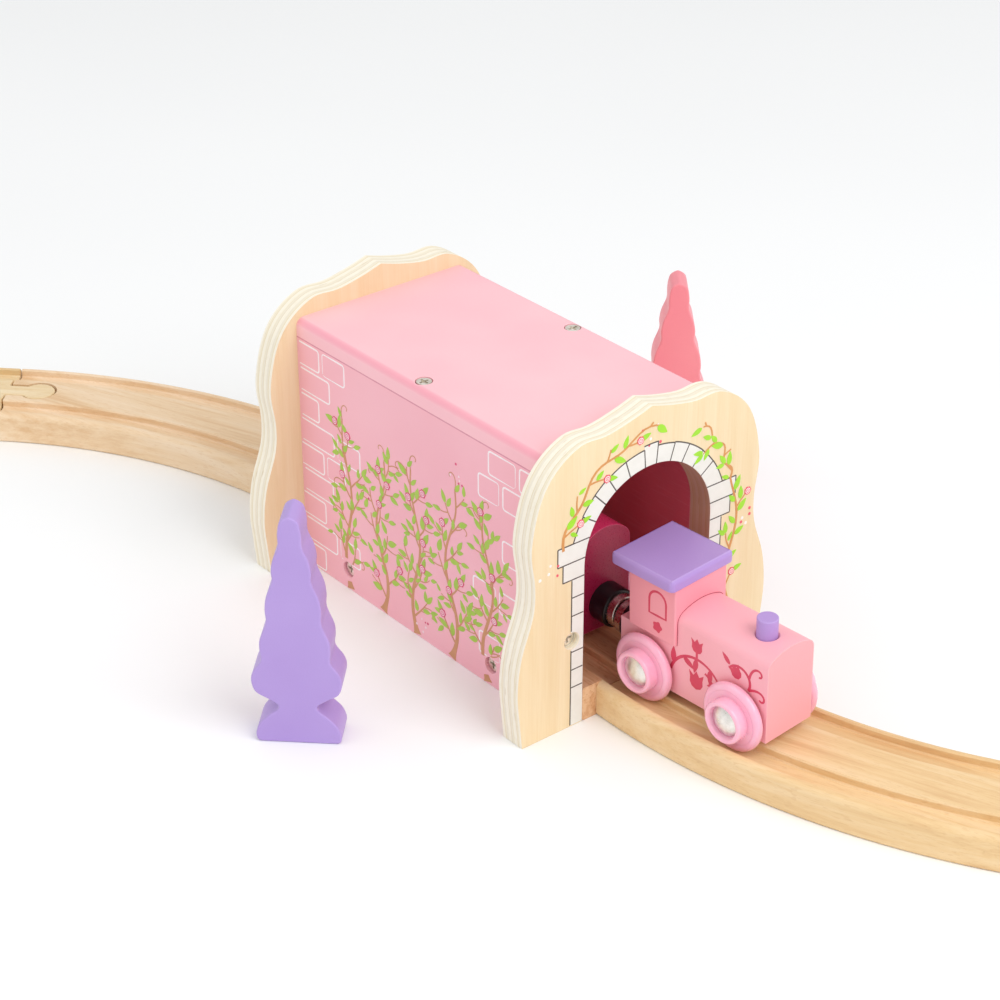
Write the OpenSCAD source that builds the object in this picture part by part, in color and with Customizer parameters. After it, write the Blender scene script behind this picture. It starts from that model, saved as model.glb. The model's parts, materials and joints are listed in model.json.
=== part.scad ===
// Wooden train set: a painted tunnel over grooved beech track, with a
// magnet-coupled engine and carriage and two slab trees.
// X runs along the tunnel, Y across it and Z up; the origin is on the floor
// under the middle of the tunnel. Lengths are in millimetres.

/* [Tunnel] */
// length over the outer faces of the two portals
tunnel_len = 144; // [136:2:170]
// thickness of one portal board
portal_t = 9; // [7:0.5:11]
// width over the two side walls
tunnel_w = 70.6; // [68:0.2:74]
// clear width between the side walls
bore_w = 52; // [51:0.5:53]
// height of the side walls
wall_h = 86; // [84:0.5:90]
// thickness of the roof board
roof_t = 6.4; // [5:0.2:8]
// rounding of the long top edges of the roof
roof_round = 3; // [1:0.5:4]
// height of the centre of the portal arch
arch_z = 56; // [50:1:58]

/* [Track] */
// width of one track piece
track_w = 40; // [39:0.5:42]
// thickness of one track piece
track_t = 12; // [11.5:0.5:14]
// distance of each wheel groove from the centre line
groove_off = 13; // [12.8:0.1:13.2]
// width of one wheel groove
groove_w = 8; // [7.6:0.1:8.4]
// depth of one wheel groove
groove_d = 3; // [2.5:0.1:3.5]
// rounding of the long top edges
track_round = 2.5; // [1:0.5:2.8]
// rounding of the long bottom edges
foot_round = 1; // [0.5:0.1:2]
// centre-line radius of a curved piece
curve_r = 212; // [200:1:230]
// angle that a curved piece turns through
curve_deg = 45; // [40:1:50]
// length of the straight end piece
end_len = 72; // [60:2:144]
// gap left between two pieces in a joint
joint_gap = 0.8; // [0.5:0.1:1]

/* [Track peg] */
// radius of the round end of a peg
peg_r = 6.2; // [6:0.1:6.4]
// distance of the round end's centre from the end of its piece
peg_reach = 12.3; // [12:0.1:13]
// width of the peg's neck
neck_w = 7.6; // [7:0.1:8]
// gap around a peg in its socket
peg_play = 0.8; // [0.7:0.05:0.8]

/* [How the curves are laid] */
// turn of the front curve in its joint
front_swing = 2.1; // [1.5:0.1:2.2]
// turn of the rear curve in its joint
rear_swing = 0.5; // [0:0.1:1]

/* [Engine] */
// how far round the front curve the engine stands
engine_deg = 6.07; // [5.8:0.01:8]
// length over the wooden body
engine_len = 60.4; // [58:0.2:64]
// width of the boiler and chassis
body_w = 20.2; // [19:0.2:20.4]
// underside of the bodies above the floor
belly_z = 15.4; // [15:0.1:17]
// deck under the cab
deck_z = 33; // [31:0.2:34]
// height of the top of the arched boiler
boiler_top = 45.7; // [45:0.1:48]
// width of the cab
cab_w = 22.6; // [21:0.2:24]
// top of the cab
cab_z = 53.2; // [51:0.2:54]
// length, width and thickness of the cab roof
roof_len = 26.3; // [25:0.1:27]
cab_roof_w = 27.5; // [26:0.5:29]
cab_roof_t = 4; // [3:0.1:4.5]
// diameter of the chimney dowel and its height above the boiler
chimney_d = 6.6; // [6:0.1:7]
chimney_h = 6; // [4:0.5:8]

/* [Carriage] */
// length of the wooden body
carriage_len = 60; // [56:1:64]
// height of the top of its arch
carriage_top = 52; // [50:0.5:54]

/* [Wheels] */
// distance between the two axles of a vehicle
wheelbase = 37; // [36:0.2:38]
// radius over the rounded rim
wheel_r = 11.4; // [11:0.1:11.6]
// thickness of the rim
rim_t = 3.2; // [3:0.1:3.4]
// outer and inner radius of the raised hub ring
hub_r = 7.1; // [7:0.1:7.4]
hub_in = 5.3; // [5.2:0.1:5.4]
// height of the hub ring over the inner face
hub_h = 6.9; // [6.6:0.1:7.2]
// radius of the steel axle pin and of its domed head
pin_r = 1.55; // [1.4:0.05:1.7]
pin_head_r = 5; // [4:0.1:5]

/* [Couplings] */
// height of the coupling axis
couple_z = 25; // [24.5:0.1:25.5]
// outer radius and length of the black cup
cup_r = 6.7; // [6.3:0.1:6.8]
cup_l = 7; // [6:0.1:7.2]
// radius and length of a magnet and how far it stands out of its cup
magnet_r = 5.7; // [5.4:0.1:5.8]
magnet_l = 4.6; // [4.4:0.1:4.6]
magnet_out = 3.1; // [2.8:0.1:3.2]

/* [Trees] */
// thickness of a tree
tree_t = 12; // [10:0.5:15]
// height of a tree
tree_h = 80; // [76:1:90]

/* [Screws] */
// radius of the screw heads and shanks
head_r = 2.5; // [2.2:0.1:2.6]
shank_r = 1.4; // [1.2:0.1:1.5]
// radius of the counterbores
sink_r = 2.9; // [2.8:0.1:3.2]

/* [Hidden] */
half_len = tunnel_len / 2;
wall_t = (tunnel_w - bore_w) / 2;
wall_mid = (tunnel_w + bore_w) / 4;
inner_len = tunnel_len - 2 * portal_t;
roof_z = wall_h + roof_t;
floor_w = bore_w - 0.2;
head_h = 1.8;
wall_sink = 3;
wall_screw = 14;
wall_screw_x = 38.3;
wall_screw_z = 7.5;
roof_sink = 2;
roof_screw = 20;
portal_sink = 4;
portal_screw = 22;
portal_screw_z = 31.5;
running = 0.05;
eps = 0.01;

// the front curve turns about the peg in its socket
front_peg_x = half_len + peg_reach;
front_slip = -0.65;
front_x = front_peg_x - (peg_reach - joint_gap) * cos(front_swing);
front_y = front_slip + (peg_reach - joint_gap) * sin(front_swing);
front_cx = front_x + curve_r * sin(front_swing);
front_cy = front_y + curve_r * cos(front_swing);

// the rear curve's own peg sits in the tunnel floor
rear_x = -half_len - joint_gap;
rear_y = -0.3;
rear_cx = rear_x - curve_r * sin(rear_swing);
rear_cy = rear_y - curve_r * cos(rear_swing);

// the engine stands on the front curve with its wheels in the grooves
engine_slip = 1.4;
engine_skew = 2.45;
engine_lean = 1.42;
engine_r = curve_r - engine_slip;
engine_x = front_cx + engine_r * sin(engine_deg);
engine_y = front_cy - engine_r * cos(engine_deg);
engine_yaw = engine_deg - engine_skew;
engine_front = 28.8;
engine_rear = engine_front - engine_len;
boiler_arch = 20.6;
boiler_shoulder = 3.5;
cab_front = -7.6;
cab_rear = -27.2;
roof_front = -6.8;
roof_edge = 1.4;
roof_corner = 2;
chimney_x = 19.5;
chimney_y = -0.5;
chimney_deep = 8;
groove_z = track_t - groove_d;
axle_z = groove_z + wheel_r + 0.43;
axle_x = wheelbase / 2;
engine_axle_mid = -0.9;
wheel_y = 10.75;
recess_t = 4.8;
web_t = 3;
pin_in = 7;
pin_dome = 1.5;

// the carriage waits inside the tunnel, its magnet just short of the engine's
cup_inset = 2.2;
cup_out = cup_l - cup_inset;
engine_tail = -engine_rear + cup_out + magnet_out;
tail_x = engine_x - engine_tail * cos(engine_yaw);
tail_reach = magnet_r * sin(engine_yaw);
magnet_gap = 0.3;
carriage_arch = 12.5;
carriage_shoulder = 5;
carriage_front = tail_x - tail_reach - magnet_gap - magnet_out - cup_l;
carriage_x = carriage_front - carriage_len / 2;

// ---------- shared shapes ----------

// a screw along Z with its head's top at z = 0
module screw(len) {
  difference() {
    union() {
      translate([0, 0, -head_h]) cylinder(r = head_r, h = head_h, $fn = 40);
      translate([0, 0, -head_h - len]) cylinder(r = shank_r, h = len + eps, $fn = 32);
    }
    for (a = [0, 90])
      rotate([0, 0, a]) translate([-1.7, -0.4, -1]) cube([3.4, 0.8, 2]);
  }
}

// the hole for a screw whose head sits "deep" below the surface at z = 0
module screw_hole(len, deep) {
  translate([0, 0, -deep]) cylinder(r = sink_r, h = deep + 1, $fn = 40);
  translate([0, 0, -deep - len - 0.5]) cylinder(r = shank_r + running, h = len + 1, $fn = 32);
}

module at_roof_screws() {
  for (s = [-1, 1]) translate([0, s * wall_mid, roof_z]) children();
}

module at_wall_screws(side) {
  for (s = [-1, 1])
    translate([s * wall_screw_x, side * tunnel_w / 2, wall_screw_z])
      rotate([-side * 90, 0, 0]) children();
}

module at_portal_screws(end) {
  for (s = [-1, 1])
    translate([end * half_len, s * wall_mid, portal_screw_z])
      rotate([0, end * 90, 0]) children();
}

// pair of wheel grooves, open upwards from z = 0 at their floor
module grooves() {
  lip = 0.5;
  half = groove_w / 2;
  for (s = [-1, 1])
    translate([s * groove_off, 0])
      polygon([[lip - half, 0], [half - lip, 0], [half, lip], [half, groove_d - lip],
               [half + lip, groove_d], [half + lip, groove_d + 1],
               [-half - lip, groove_d + 1], [-half - lip, groove_d],
               [-half, groove_d - lip], [-half, lip]]);
}

// cross-section of a track piece: Y across, Z up, grooves in the top and, on a
// piece that can be turned over, in the underside too
module track_section(w, r, foot_r, two_faced) {
  difference() {
    union() {
      translate([-w / 2, foot_r]) square([w, track_t - r - foot_r]);
      translate([r - w / 2, track_t - r]) square([w - 2 * r, r]);
      translate([foot_r - w / 2, 0]) square([w - 2 * foot_r, foot_r]);
      for (s = [-1, 1]) {
        translate([s * (w / 2 - r), track_t - r]) circle(r = r, $fn = 48);
        translate([s * (w / 2 - foot_r), foot_r]) circle(r = foot_r, $fn = 32);
      }
    }
    translate([0, track_t - groove_d]) grooves();
    if (two_faced) mirror([0, 1]) translate([0, -groove_d]) grooves();
  }
}

// straight piece along X from x = 0
module straight_bar(len, w, r, two_faced) {
  rotate([90, 0, 90]) linear_extrude(len) track_section(w, r, foot_round, two_faced);
}

// peg on an end face at x = 0, pointing to +X
module peg() {
  translate([peg_reach, 0, 0]) cylinder(r = peg_r, h = track_t, $fn = 64);
  translate([-1, -neck_w / 2, 0]) cube([peg_reach + 1, neck_w, track_t]);
}

// socket in an end face at x = 0, cut towards -X
module socket() {
  reach = peg_reach - joint_gap;
  translate([-reach, 0, -1]) cylinder(r = peg_r + peg_play, h = track_t + 2, $fn = 64);
  translate([-reach, -neck_w / 2 - peg_play, -1])
    cube([reach + 1, neck_w + 2 * peg_play, track_t + 2]);
}

// curve about the origin from (0, -curve_r), turning towards +Y, with a socket
// at its start and a peg at its end
module curve_piece() {
  difference() {
    rotate([0, 0, -90]) rotate_extrude(angle = curve_deg, $fn = 240)
      translate([curve_r, 0]) track_section(track_w, track_round, foot_round, true);
    translate([0, -curve_r, 0]) rotate([0, 0, 180]) socket();
  }
  rotate([0, 0, curve_deg]) translate([0, -curve_r, 0]) peg();
}

// points of a smooth line through "p" (a Catmull-Rom curve, n steps a span)
function smooth(p, n) =
  let (last = len(p) - 1)
  [for (i = [0 : last - 1], k = [0 : n - 1])
    let (t = k / n, a = p[max(i - 1, 0)], b = p[i], c = p[i + 1], d = p[min(i + 2, last)])
    0.5 * (2 * b + t * (c - a) + t * t * (2 * a - 5 * b + 4 * c - d)
           + t * t * t * (3 * b - a - 3 * c + d))];

// closed outline, mirrored about the vertical axis, from its right half
function mirrored(p) = concat(p, [for (i = [len(p) - 1 : -1 : 0]) [-p[i][0], p[i][1]]]);

// wheel along Z: inner face at z = 0, hub ring outwards
module wheel() {
  rim_r = rim_t / 2;
  ring_r = (hub_r - hub_in) / 2;
  rotate_extrude($fn = 96) {
    translate([pin_r + running, 0]) square([hub_in + 0.5 - pin_r - running, recess_t]);
    translate([hub_in, 0]) square([wheel_r - rim_r - hub_in, web_t]);
    translate([wheel_r - rim_r, rim_r]) circle(r = rim_r, $fn = 48);
    translate([hub_in, 0]) square([2 * ring_r, hub_h - ring_r]);
    translate([hub_in + ring_r, hub_h - ring_r]) circle(r = ring_r, $fn = 48);
  }
}

// axle pin along Z with a domed head, placed like the wheel
module wheel_pin() {
  dome_r = (pin_head_r * pin_head_r + pin_dome * pin_dome) / (2 * pin_dome);
  head_z = recess_t + 0.12;
  translate([0, 0, -pin_in]) cylinder(r = pin_r, h = pin_in + head_z + 0.5, $fn = 48);
  rotate_extrude($fn = 64) intersection() {
    translate([0, head_z + pin_dome - dome_r]) circle(r = dome_r, $fn = 160);
    translate([0, head_z]) square([pin_head_r, pin_dome]);
  }
}

// puts children on one wheel position of a vehicle: end +1 front, side -1 right
module at_wheel(end, side) {
  translate([end * axle_x, side * wheel_y, axle_z]) rotate([-side * 90, 0, 0]) children();
}

module vehicle_pins() {
  for (end = [-1, 1], side = [-1, 1]) at_wheel(end, side) wheel_pin();
}

module axle_holes() {
  for (end = [-1, 1], side = [-1, 1])
    at_wheel(end, side) translate([0, 0, -pin_in - 0.3])
      cylinder(r = pin_r + running, h = pin_in + 2, $fn = 48);
}

// coupling parts along X: back of the cup at x = 0, magnet towards +X
cup_wall = 2.6;
magnet_x = cup_l + magnet_out - magnet_l;
couple_head = 1.2;
couple_shank = 8;

module along_x() {
  rotate([0, 90, 0]) children();
}

module cup() {
  along_x() difference() {
    rotate_extrude($fn = 72) {
      square([cup_r, cup_l - 1]);
      square([cup_r - 1, cup_l]);
      translate([cup_r - 1, cup_l - 1]) circle(r = 1, $fn = 32);
    }
    translate([0, 0, magnet_x]) cylinder(r = magnet_r + running, h = cup_l, $fn = 72);
    translate([0, 0, magnet_x - couple_head]) cylinder(r = head_r + 0.2, h = cup_l, $fn = 40);
    translate([0, 0, -1]) cylinder(r = shank_r + running, h = cup_l, $fn = 32);
  }
}

module magnet() {
  edge = 0.6;
  translate([magnet_x, 0, 0]) along_x() rotate_extrude($fn = 72) {
    square([magnet_r, magnet_l - edge]);
    square([magnet_r - edge, magnet_l]);
    translate([magnet_r - edge, magnet_l - edge]) circle(r = edge, $fn = 32);
  }
}

module couple_screw() {
  translate([magnet_x - couple_head, 0, 0]) along_x() {
    cylinder(r = head_r, h = couple_head, $fn = 40);
    translate([0, 0, -couple_shank]) cylinder(r = shank_r, h = couple_shank + eps, $fn = 32);
  }
}

module couple_hole() {
  translate([magnet_x - couple_head - couple_shank - 0.5, 0, 0])
    along_x() cylinder(r = shank_r + running, h = couple_shank + 2, $fn = 32);
}

// seat of a coupling: turn 0 looks forwards, 180 backwards
module couple_at(x, turn) {
  translate([x, 0, couple_z]) rotate([0, 0, turn]) children();
}

// long block along X from the belly up: flat sides, tight shoulders, a broad arch on top
module arched_block(x0, x1, top, arch_r, shoulder_r) {
  side = body_w / 2;
  inset = side - shoulder_r;
  drop = arch_r - shoulder_r;
  shoulder_z = top - arch_r + sqrt(drop * drop - inset * inset);
  arch_x = inset * arch_r / drop;
  translate([x0, 0, 0]) rotate([90, 0, 90]) linear_extrude(x1 - x0) {
    translate([-side, belly_z]) square([body_w, shoulder_z - belly_z]);
    for (s = [-1, 1]) translate([s * inset, shoulder_z]) circle(r = shoulder_r, $fn = 72);
    intersection() {
      translate([0, top - arch_r]) circle(r = arch_r, $fn = 240);
      translate([-arch_x, belly_z]) square([2 * arch_x, top]);
    }
  }
}

// ---------- tunnel ----------

module portal_board() {
  side = smooth([[50.2, 0], [51.2, 10], [52, 21], [50.4, 33], [46, 46], [45.3, 56], [46.7, 69],
                 [43.5, 83.5], [37.5, 92.5], [28, 98], [18, 98], [8, 99.9], [0, 102.2]], 5);
  outline = mirrored(concat(side, [[0, 102.2]]));
  rotate([90, 0, 90]) linear_extrude(portal_t) difference() {
    polygon(outline);
    translate([-bore_w / 2, -1]) square([bore_w, arch_z + 1]);
    translate([0, arch_z]) circle(r = bore_w / 2, $fn = 120);
  }
}

module front_portal() {
  color("#F0DDB8") difference() {
    translate([half_len - portal_t, 0, 0]) portal_board();
    at_portal_screws(1) screw_hole(portal_screw, portal_sink);
  }
}

module rear_portal() {
  color("#F0DDB8") difference() {
    translate([-half_len, 0, 0]) portal_board();
    at_portal_screws(-1) screw_hole(portal_screw, portal_sink);
  }
}

module tunnel_roof() {
  color("#F7BCC4") difference() {
    translate([-inner_len / 2, 0, wall_h]) rotate([90, 0, 90]) linear_extrude(inner_len) {
      translate([-tunnel_w / 2, 0]) square([tunnel_w, roof_t - roof_round]);
      translate([roof_round - tunnel_w / 2, 0]) square([tunnel_w - 2 * roof_round, roof_t]);
      for (s = [-1, 1])
        translate([s * (tunnel_w / 2 - roof_round), roof_t - roof_round]) circle(r = roof_round, $fn = 64);
    }
    at_roof_screws() screw_hole(roof_screw, roof_sink);
  }
}

module side_wall(side) {
  color("#F2A9B6") difference() {
    translate([-inner_len / 2, side * wall_mid - wall_t / 2, 0]) cube([inner_len, wall_t, wall_h]);
    at_roof_screws() screw_hole(roof_screw, roof_sink);
    at_wall_screws(side) screw_hole(wall_screw, wall_sink);
    for (end = [-1, 1]) at_portal_screws(end) screw_hole(portal_screw, portal_sink);
  }
}

module wall_right() { side_wall(-1); }
module wall_left() { side_wall(1); }

module tunnel_track() {
  color("#C79A6A") {
    difference() {
      translate([-half_len, 0, 0]) straight_bar(tunnel_len, floor_w, 1, false);
      for (side = [-1, 1]) at_wall_screws(side) screw_hole(wall_screw, wall_sink);
      translate([-half_len, 0, 0]) rotate([0, 0, 180]) socket();
    }
    translate([half_len, 0, 0]) peg();
  }
}

module roof_screws() {
  color("#9A9A98") at_roof_screws() translate([0, 0, head_h - roof_sink]) screw(roof_screw);
}
module wall_right_screws() {
  color("#9A9A98") at_wall_screws(-1) translate([0, 0, head_h - wall_sink]) screw(wall_screw);
}
module wall_left_screws() {
  color("#9A9A98") at_wall_screws(1) translate([0, 0, head_h - wall_sink]) screw(wall_screw);
}
module front_portal_screws() {
  color("#9A9A98") at_portal_screws(1) translate([0, 0, head_h - portal_sink]) screw(portal_screw);
}
module rear_portal_screws() {
  color("#9A9A98") at_portal_screws(-1) translate([0, 0, head_h - portal_sink]) screw(portal_screw);
}

// ---------- track ----------

module front_curve_track() {
  color("#E3BF8F") translate([front_cx, front_cy, 0])
    rotate([0, 0, -front_swing]) curve_piece();
}

// the same two-faced piece turned over: its peg end meets the tunnel
module rear_curve_track() {
  color("#E3BF8F") translate([rear_cx, rear_cy, 0])
    rotate([0, 0, curve_deg - rear_swing]) mirror([0, 1, 0]) curve_piece();
}

module end_track() {
  color("#EBCFA3") translate([rear_cx, rear_cy, 0])
    rotate([0, 0, curve_deg - rear_swing]) translate([-joint_gap, curve_r, 0])
      rotate([0, 0, 180]) {
        difference() {
          straight_bar(end_len, track_w, track_round, true);
          translate([end_len, 0, 0]) socket();
        }
        rotate([0, 0, 180]) peg();
      }
}

// ---------- engine ----------

// the engine leans on its right wheels, about the floor of the grooves
module on_engine() {
  translate([engine_x, engine_y, groove_z]) rotate([engine_lean, 0, engine_yaw])
    translate([0, 0, -groove_z]) children();
}

module on_engine_axles() {
  on_engine() translate([engine_axle_mid, 0, 0]) children();
}

module engine_body() {
  color("#F08FA8") on_engine() difference() {
    union() {
      translate([engine_rear, -body_w / 2, belly_z]) cube([engine_len, body_w, deck_z - belly_z]);
      arched_block(cab_front, engine_front, boiler_top, boiler_arch, boiler_shoulder);
    }
    translate([engine_axle_mid, 0, 0]) axle_holes();
    couple_at(engine_rear + cup_inset, 180) {
      along_x() cylinder(r = cup_r + 0.2, h = cup_inset + 1, $fn = 72);
      couple_hole();
    }
    translate([chimney_x, chimney_y, boiler_top - chimney_deep])
      cylinder(r = chimney_d / 2 + running, h = chimney_deep + 1, $fn = 48);
    translate([chimney_x, chimney_y, boiler_top - 0.8])
      cylinder(r1 = chimney_d / 2, r2 = chimney_d / 2 + 0.9, h = 1, $fn = 48);
  }
}

module engine_cab() {
  color("#F08FA8") on_engine()
    translate([cab_rear, -cab_w / 2, deck_z]) cube([cab_front - cab_rear, cab_w, cab_z - deck_z]);
}

module engine_roof() {
  color("#A88BD0") on_engine() translate([roof_front - roof_len, -cab_roof_w / 2, cab_z])
    intersection() {
      rotate([90, 0, 90]) linear_extrude(roof_len) rounded_slab(cab_roof_w, cab_roof_t, roof_edge);
      translate([0, cab_roof_w, 0]) rotate([90, 0, 0])
        linear_extrude(cab_roof_w) rounded_slab(roof_len, cab_roof_t, roof_edge);
      linear_extrude(cab_roof_t) rounded_plan(roof_len, cab_roof_w, roof_corner);
    }
}

// rectangle with all four corners rounded, lower left corner at the origin
module rounded_plan(l, w, r) {
  translate([r, 0]) square([l - 2 * r, w]);
  translate([0, r]) square([l, w - 2 * r]);
  for (x = [r, l - r], y = [r, w - r]) translate([x, y]) circle(r = r, $fn = 48);
}

// flat bar section with rounded top corners, lower left corner at the origin
module rounded_slab(w, t, r) {
  square([w, t - r]);
  translate([r, 0]) square([w - 2 * r, t]);
  for (x = [r, w - r]) translate([x, t - r]) circle(r = r, $fn = 32);
}

module chimney() {
  color("#A88BD0") on_engine() translate([chimney_x, chimney_y, boiler_top - chimney_deep])
    cylinder(d = chimney_d, h = chimney_deep + chimney_h, $fn = 64);
}

module engine_axle_pins() { color("#D8D8D4") on_engine_axles() vehicle_pins(); }

module engine_cup() {
  color("#1A1A1A") on_engine() couple_at(engine_rear + cup_inset, 180) cup();
}
module engine_magnet() {
  color("#C8C8C8") on_engine() couple_at(engine_rear + cup_inset, 180) magnet();
}
module engine_cup_screw() {
  color("#9A9A98") on_engine() couple_at(engine_rear + cup_inset, 180) couple_screw();
}

module engine_wheel_front_right() { color("#F48FB0") on_engine_axles() at_wheel(1, -1) wheel(); }
module engine_wheel_front_left() { color("#F48FB0") on_engine_axles() at_wheel(1, 1) wheel(); }
module engine_wheel_rear_right() { color("#F48FB0") on_engine_axles() at_wheel(-1, -1) wheel(); }
module engine_wheel_rear_left() { color("#F48FB0") on_engine_axles() at_wheel(-1, 1) wheel(); }

// ---------- carriage ----------

module on_carriage() {
  translate([carriage_x, 0, 0]) children();
}

module carriage_body() {
  color("#D83A68") on_carriage() difference() {
    arched_block(-carriage_len / 2, carriage_len / 2, carriage_top, carriage_arch, carriage_shoulder);
    axle_holes();
    for (turn = [0, 180]) rotate([0, 0, turn]) couple_at(carriage_len / 2, 0) couple_hole();
  }
}

module carriage_axle_pins() { color("#D8D8D4") on_carriage() vehicle_pins(); }

module carriage_front_cup() { color("#1A1A1A") on_carriage() couple_at(carriage_len / 2, 0) cup(); }
module carriage_front_magnet() {
  color("#C8C8C8") on_carriage() couple_at(carriage_len / 2, 0) magnet();
}
module carriage_front_cup_screw() {
  color("#9A9A98") on_carriage() couple_at(carriage_len / 2, 0) couple_screw();
}
module carriage_rear_cup() { color("#1A1A1A") on_carriage() couple_at(-carriage_len / 2, 180) cup(); }
module carriage_rear_magnet() {
  color("#C8C8C8") on_carriage() couple_at(-carriage_len / 2, 180) magnet();
}
module carriage_rear_cup_screw() {
  color("#9A9A98") on_carriage() couple_at(-carriage_len / 2, 180) couple_screw();
}

module carriage_wheel_front_right() { color("#F48FB0") on_carriage() at_wheel(1, -1) wheel(); }
module carriage_wheel_front_left() { color("#F48FB0") on_carriage() at_wheel(1, 1) wheel(); }
module carriage_wheel_rear_right() { color("#F48FB0") on_carriage() at_wheel(-1, -1) wheel(); }
module carriage_wheel_rear_left() { color("#F48FB0") on_carriage() at_wheel(-1, 1) wheel(); }

// ---------- trees ----------

// one tree cut from board, standing on its foot, facing -Y
module tree() {
  lobe = smooth([[13, 0.6], [13.3, 3], [12, 6.5], [9, 9.6], [6.4, 11.8], [6.2, 13.6],
                 [9, 15.6], [12.8, 18], [14, 22], [13.2, 25.5], [10.7, 29.4], [10.9, 33.5],
                 [10.6, 37], [8.5, 43], [8.6, 47.5], [8, 52], [6, 57.5], [6.1, 61], [5.4, 65],
                 [3.7, 69.5], [3.6, 74], [2.7, 78.2], [0, 80]], 4);
  outline = [for (p = mirrored(concat([[12, 0]], lobe, [[0, 80]]))) [p[0], p[1] * tree_h / 80]];
  translate([0, tree_t / 2, 0]) rotate([90, 0, 0]) linear_extrude(tree_t) polygon(outline);
}

module purple_tree() {
  color("#A88BD0") translate([21.4, -96.9, 0]) rotate([0, 0, 46]) tree();
}

module pink_tree() {
  color("#F4909F") translate([-27.8, 104.2, 0]) rotate([0, 0, 51]) tree();
}

front_portal();
rear_portal();
tunnel_roof();
wall_right();
wall_left();
tunnel_track();
roof_screws();
wall_right_screws();
wall_left_screws();
front_portal_screws();
rear_portal_screws();
front_curve_track();
rear_curve_track();
end_track();
engine_body();
engine_cab();
engine_roof();
chimney();
engine_axle_pins();
engine_cup();
engine_magnet();
engine_cup_screw();
engine_wheel_front_right();
engine_wheel_front_left();
engine_wheel_rear_right();
engine_wheel_rear_left();
carriage_body();
carriage_axle_pins();
carriage_front_cup();
carriage_front_magnet();
carriage_front_cup_screw();
carriage_rear_cup();
carriage_rear_magnet();
carriage_rear_cup_screw();
carriage_wheel_front_right();
carriage_wheel_front_left();
carriage_wheel_rear_right();
carriage_wheel_rear_left();
purple_tree();
pink_tree();
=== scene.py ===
"""Looks of the wooden train set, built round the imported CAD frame."""

import json
import math
import random

import bpy
from mathutils import Matrix, Quaternion, Vector


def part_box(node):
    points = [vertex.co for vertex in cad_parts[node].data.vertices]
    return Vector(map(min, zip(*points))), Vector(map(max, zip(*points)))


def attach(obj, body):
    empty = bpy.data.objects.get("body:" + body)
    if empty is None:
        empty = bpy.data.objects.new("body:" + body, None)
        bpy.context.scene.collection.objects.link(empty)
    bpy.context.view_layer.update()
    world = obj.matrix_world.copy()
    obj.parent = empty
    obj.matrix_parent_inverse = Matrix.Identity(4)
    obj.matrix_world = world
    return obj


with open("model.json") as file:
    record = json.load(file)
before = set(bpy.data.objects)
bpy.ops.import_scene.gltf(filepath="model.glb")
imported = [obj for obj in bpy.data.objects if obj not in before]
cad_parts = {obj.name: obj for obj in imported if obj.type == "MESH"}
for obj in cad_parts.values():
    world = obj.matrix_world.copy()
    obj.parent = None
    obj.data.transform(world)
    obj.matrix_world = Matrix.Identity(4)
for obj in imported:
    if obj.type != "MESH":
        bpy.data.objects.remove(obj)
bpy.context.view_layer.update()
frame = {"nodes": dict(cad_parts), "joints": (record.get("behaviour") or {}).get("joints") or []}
nodes = frame["nodes"]

MM = 0.001


# ---------------------------------------------------------------- dimensions, mm
def box(name):
    """Lowest and highest corner of a CAD node, to a hundredth of a millimetre."""
    return [[round(value / MM, 2) for value in corner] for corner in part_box(name)]


PORTAL_BOX = box("front_portal")
HALF_LEN = PORTAL_BOX[1][0]  # tunnel, middle to the outer face of a portal
INNER_HALF = PORTAL_BOX[0][0]  # the same to the inner face
PORTAL_T = HALF_LEN - INNER_HALF
WALL_BOX = box("wall_left")
WALL_FACE = WALL_BOX[1][1]  # outer face of a side wall
WALL_TOP = WALL_BOX[1][2]  # where the roof board lies on the wall
BORE_R = 26.0
ARCH_Z = 56.0
CURVE_AT = next(joint["pos_m"] for joint in frame["joints"] if joint["name"] == "engine_roll")
ENGINE_R = 210.6  # from the front curve's centre to the engine's middle
ENGINE_DEG = 6.07  # how far round the curve the engine stands
ENGINE_SKEW = 2.45  # how much less than that it is turned
ENGINE_YAW = ENGINE_DEG - ENGINE_SKEW
ENGINE_LEAN = 1.42
GROOVE_Z = 9.0
BODY_HALF = 10.1  # half the width of the engine's body
BOILER_TOP = 45.7
ARCH_R = 20.6
SHOULDER_R = 3.5
CAB_FRONT = -7.6
CAB_HALF = 11.3
DECK_Z = 33.0


# ---------------------------------------------------------------- shader kit
def srgb(text):
    """Linear colour of a hex colour."""
    parts = [int(text[i : i + 2], 16) / 255 for i in (1, 3, 5)]
    return (*(c / 12.92 if c <= 0.04045 else ((c + 0.055) / 1.055) ** 2.4 for c in parts), 1.0)


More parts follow.
